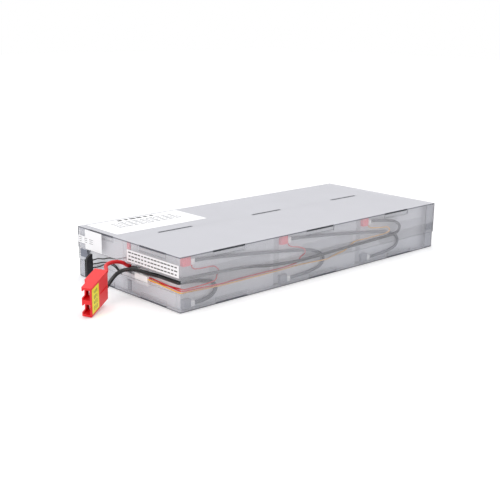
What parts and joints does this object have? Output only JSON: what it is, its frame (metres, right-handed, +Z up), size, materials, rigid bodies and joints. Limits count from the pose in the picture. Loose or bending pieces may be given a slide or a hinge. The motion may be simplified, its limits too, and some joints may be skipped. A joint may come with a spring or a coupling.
{
  "type": "sealed lead acid battery",
  "caption": "Replacement battery cartridge of sealed lead acid blocks lying between two folded clear covers, with series wiring, a red two-pole power connector and a sense plug",
  "frame": {"origin": "bottom centre of the covers, leads and connectors left out", "axes": "+X to the right end along the length, +Y to the back, +Z up"},
  "size_m": [0.5749, 0.2082, 0.0664],
  "materials": {
    "clear_sheet": "clear flame-rated polyester sheet, slightly hazy",
    "white_tape": "thin double-sided foam tape",
    "black_tape": "black vinyl tape",
    "battery_case": "grey moulded ABS",
    "battery_lid": "grey moulded ABS",
    "terminal_red": "red potting round the plus post",
    "terminal_black": "black potting round the minus post",
    "tinned_brass": "tin-plated brass tab",
    "natural_nylon": "natural nylon",
    "foam": "closed-cell foam",
    "black_wire": "black PVC or silicone insulation",
    "red_wire": "red PVC or silicone insulation",
    "yellow_wire": "orange-yellow PVC insulation",
    "clear_sleeve": "flat natural sleeve",
    "connector_red": "moulded polycarbonate",
    "contact_metal": "silver-plated copper",
    "black_nylon": "moulded nylon"
  },
  "bodies": {
    "root": {"upper_cover": "clear_sheet", "lower_tray": "clear_sheet", "seam_tape": "white_tape", "slot_pads": "black_tape", "case_front_left": "battery_case", "lid_front_left": "battery_lid", "terminal_red_front_left": "terminal_red", "terminal_black_front_left": "terminal_black", "case_front_middle": "battery_case", "lid_front_middle": "battery_lid", "terminal_red_front_middle": "terminal_red", "terminal_black_front_middle": "terminal_black", "case_front_right": "battery_case", "lid_front_right": "battery_lid", "terminal_red_front_right": "terminal_red", "terminal_black_front_right": "terminal_black", "vent_covers_front": "battery_lid", "tabs_front": "tinned_brass", "receptacles_front": "natural_nylon", "case_rear_left": "battery_case", "lid_rear_left": "battery_lid", "terminal_red_rear_left": "terminal_red", "terminal_black_rear_left": "terminal_black", "case_rear_middle": "battery_case", "lid_rear_middle": "battery_lid", "terminal_red_rear_middle": "terminal_red", "terminal_black_rear_middle": "terminal_black", "case_rear_right": "battery_case", "lid_rear_right": "battery_lid", "terminal_red_rear_right": "terminal_red", "terminal_black_rear_right": "terminal_black", "vent_covers_rear": "battery_lid", "tabs_rear": "tinned_brass", "receptacles_rear": "natural_nylon", "foam_gap_blocks": "foam", "foam_end_blocks": "foam", "jumper_front_left": "black_wire", "jumper_front_right": "black_wire", "jumper_rear_left": "black_wire", "jumper_rear_right": "black_wire", "row_link": "black_wire", "main_lead_black_inner": "black_wire", "main_lead_black": "black_wire", "main_lead_red_inner": "red_wire", "main_lead_red": "red_wire", "sense_wire_red_first": "red_wire", "sense_wire_red_second": "red_wire", "sense_wire_yellow": "yellow_wire", "sense_lead_top": "black_wire", "sense_lead_middle": "black_wire", "sense_lead_bottom": "black_wire", "inline_sense_connector": "natural_nylon", "sense_sleeve": "clear_sleeve", "power_connector_housing": "connector_red", "power_connector_contacts": "contact_metal", "sense_plug_housing": "black_nylon"}
  },
  "joints": []
}
